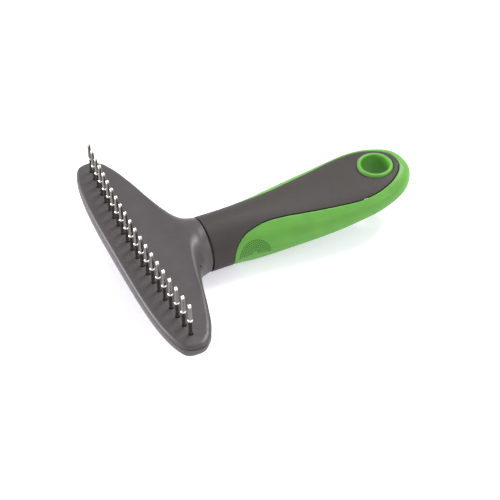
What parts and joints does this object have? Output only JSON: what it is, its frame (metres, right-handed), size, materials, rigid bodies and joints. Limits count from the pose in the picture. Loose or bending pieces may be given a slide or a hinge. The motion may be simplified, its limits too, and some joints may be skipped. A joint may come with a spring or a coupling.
{
  "type": "deshedding tool",
  "caption": "T-shaped pet deshedding rake: a row of freely turning steel pins on a wide head, with a soft-grip handle and a hanging hole.",
  "frame": {"origin": "centre of the bounding box's bottom face, with the tool lying on its back and its pins up", "axes": "+X runs from the rake head along the handle to the hanging hole, +Z points the way the pins do, and y = 0 is the plane of symmetry"},
  "size_m": [0.1566, 0.136, 0.0433],
  "materials": {
    "head_grey": "satin moulded, dark warm grey",
    "grip_grey": "soft matte, dark brownish grey",
    "grip_green": "soft satin, lime green",
    "seam_black": "matte black",
    "inner_plastic": "unpainted, hidden inside",
    "pin_steel": "polished, nickel plated",
    "screw_steel": "zinc plated"
  },
  "bodies": {
    "tool": {"head_shell": "head_grey", "back_cover": "head_grey", "pin_retainer": "inner_plastic", "retainer_screw_1": "screw_steel", "retainer_screw_2": "screw_steel", "retainer_screw_3": "screw_steel", "retainer_screw_4": "screw_steel", "cover_screw_1": "screw_steel", "cover_screw_2": "screw_steel", "cover_screw_3": "screw_steel", "cover_screw_4": "screw_steel", "neck_plug": "inner_plastic", "neck_screw": "screw_steel", "seam_ring": "seam_black", "handle_body": "grip_grey", "grip_wrap": "grip_green", "hang_hole_grommet": "grip_green"},
    "pin_01": {"pin_01": "pin_steel"},
    "pin_02": {"pin_02": "pin_steel"},
    "pin_03": {"pin_03": "pin_steel"},
    "pin_04": {"pin_04": "pin_steel"},
    "pin_05": {"pin_05": "pin_steel"},
    "pin_06": {"pin_06": "pin_steel"},
    "pin_07": {"pin_07": "pin_steel"},
    "pin_08": {"pin_08": "pin_steel"},
    "pin_09": {"pin_09": "pin_steel"},
    "pin_10": {"pin_10": "pin_steel"},
    "pin_11": {"pin_11": "pin_steel"},
    "pin_12": {"pin_12": "pin_steel"},
    "pin_13": {"pin_13": "pin_steel"},
    "pin_14": {"pin_14": "pin_steel"},
    "pin_15": {"pin_15": "pin_steel"},
    "pin_16": {"pin_16": "pin_steel"},
    "pin_17": {"pin_17": "pin_steel"},
    "pin_18": {"pin_18": "pin_steel"},
    "pin_19": {"pin_19": "pin_steel"},
    "pin_20": {"pin_20": "pin_steel"},
    "pin_21": {"pin_21": "pin_steel"}
  },
  "joints": [
    {"name": "pin_01_spin", "type": "hinge", "parent": "tool", "child": "pin_01", "pos_m": [-0.0663, -0.06, 0.025], "axis": [0, 0, 1], "continuous": true},
    {"name": "pin_02_spin", "type": "hinge", "parent": "tool", "child": "pin_02", "pos_m": [-0.06683, -0.054, 0.025], "axis": [0, 0, 1], "continuous": true},
    {"name": "pin_03_spin", "type": "hinge", "parent": "tool", "child": "pin_03", "pos_m": [-0.06731, -0.048, 0.025], "axis": [0, 0, 1], "continuous": true},
    {"name": "pin_04_spin", "type": "hinge", "parent": "tool", "child": "pin_04", "pos_m": [-0.06773, -0.042, 0.025], "axis": [0, 0, 1], "continuous": true},
    {"name": "pin_05_spin", "type": "hinge", "parent": "tool", "child": "pin_05", "pos_m": [-0.06809, -0.036, 0.025], "axis": [0, 0, 1], "continuous": true},
    {"name": "pin_06_spin", "type": "hinge", "parent": "tool", "child": "pin_06", "pos_m": [-0.0684, -0.03, 0.025], "axis": [0, 0, 1], "continuous": true},
    {"name": "pin_07_spin", "type": "hinge", "parent": "tool", "child": "pin_07", "pos_m": [-0.06865, -0.024, 0.025], "axis": [0, 0, 1], "continuous": true},
    {"name": "pin_08_spin", "type": "hinge", "parent": "tool", "child": "pin_08", "pos_m": [-0.06885, -0.018, 0.025], "axis": [0, 0, 1], "continuous": true},
    {"name": "pin_09_spin", "type": "hinge", "parent": "tool", "child": "pin_09", "pos_m": [-0.06899, -0.012, 0.025], "axis": [0, 0, 1], "continuous": true},
    {"name": "pin_10_spin", "type": "hinge", "parent": "tool", "child": "pin_10", "pos_m": [-0.06907, -0.006, 0.025], "axis": [0, 0, 1], "continuous": true},
    {"name": "pin_11_spin", "type": "hinge", "parent": "tool", "child": "pin_11", "pos_m": [-0.0691, 0, 0.025], "axis": [0, 0, 1], "continuous": true},
    {"name": "pin_12_spin", "type": "hinge", "parent": "tool", "child": "pin_12", "pos_m": [-0.06907, 0.006, 0.025], "axis": [0, 0, 1], "continuous": true},
    {"name": "pin_13_spin", "type": "hinge", "parent": "tool", "child": "pin_13", "pos_m": [-0.06899, 0.012, 0.025], "axis": [0, 0, 1], "continuous": true},
    {"name": "pin_14_spin", "type": "hinge", "parent": "tool", "child": "pin_14", "pos_m": [-0.06885, 0.018, 0.025], "axis": [0, 0, 1], "continuous": true},
    {"name": "pin_15_spin", "type": "hinge", "parent": "tool", "child": "pin_15", "pos_m": [-0.06865, 0.024, 0.025], "axis": [0, 0, 1], "continuous": true},
    {"name": "pin_16_spin", "type": "hinge", "parent": "tool", "child": "pin_16", "pos_m": [-0.0684, 0.03, 0.025], "axis": [0, 0, 1], "continuous": true},
    {"name": "pin_17_spin", "type": "hinge", "parent": "tool", "child": "pin_17", "pos_m": [-0.06809, 0.036, 0.025], "axis": [0, 0, 1], "continuous": true},
    {"name": "pin_18_spin", "type": "hinge", "parent": "tool", "child": "pin_18", "pos_m": [-0.06773, 0.042, 0.025], "axis": [0, 0, 1], "continuous": true},
    {"name": "pin_19_spin", "type": "hinge", "parent": "tool", "child": "pin_19", "pos_m": [-0.06731, 0.048, 0.025], "axis": [0, 0, 1], "continuous": true},
    {"name": "pin_20_spin", "type": "hinge", "parent": "tool", "child": "pin_20", "pos_m": [-0.06683, 0.054, 0.025], "axis": [0, 0, 1], "continuous": true},
    {"name": "pin_21_spin", "type": "hinge", "parent": "tool", "child": "pin_21", "pos_m": [-0.0663, 0.06, 0.025], "axis": [0, 0, 1], "continuous": true}
  ]
}
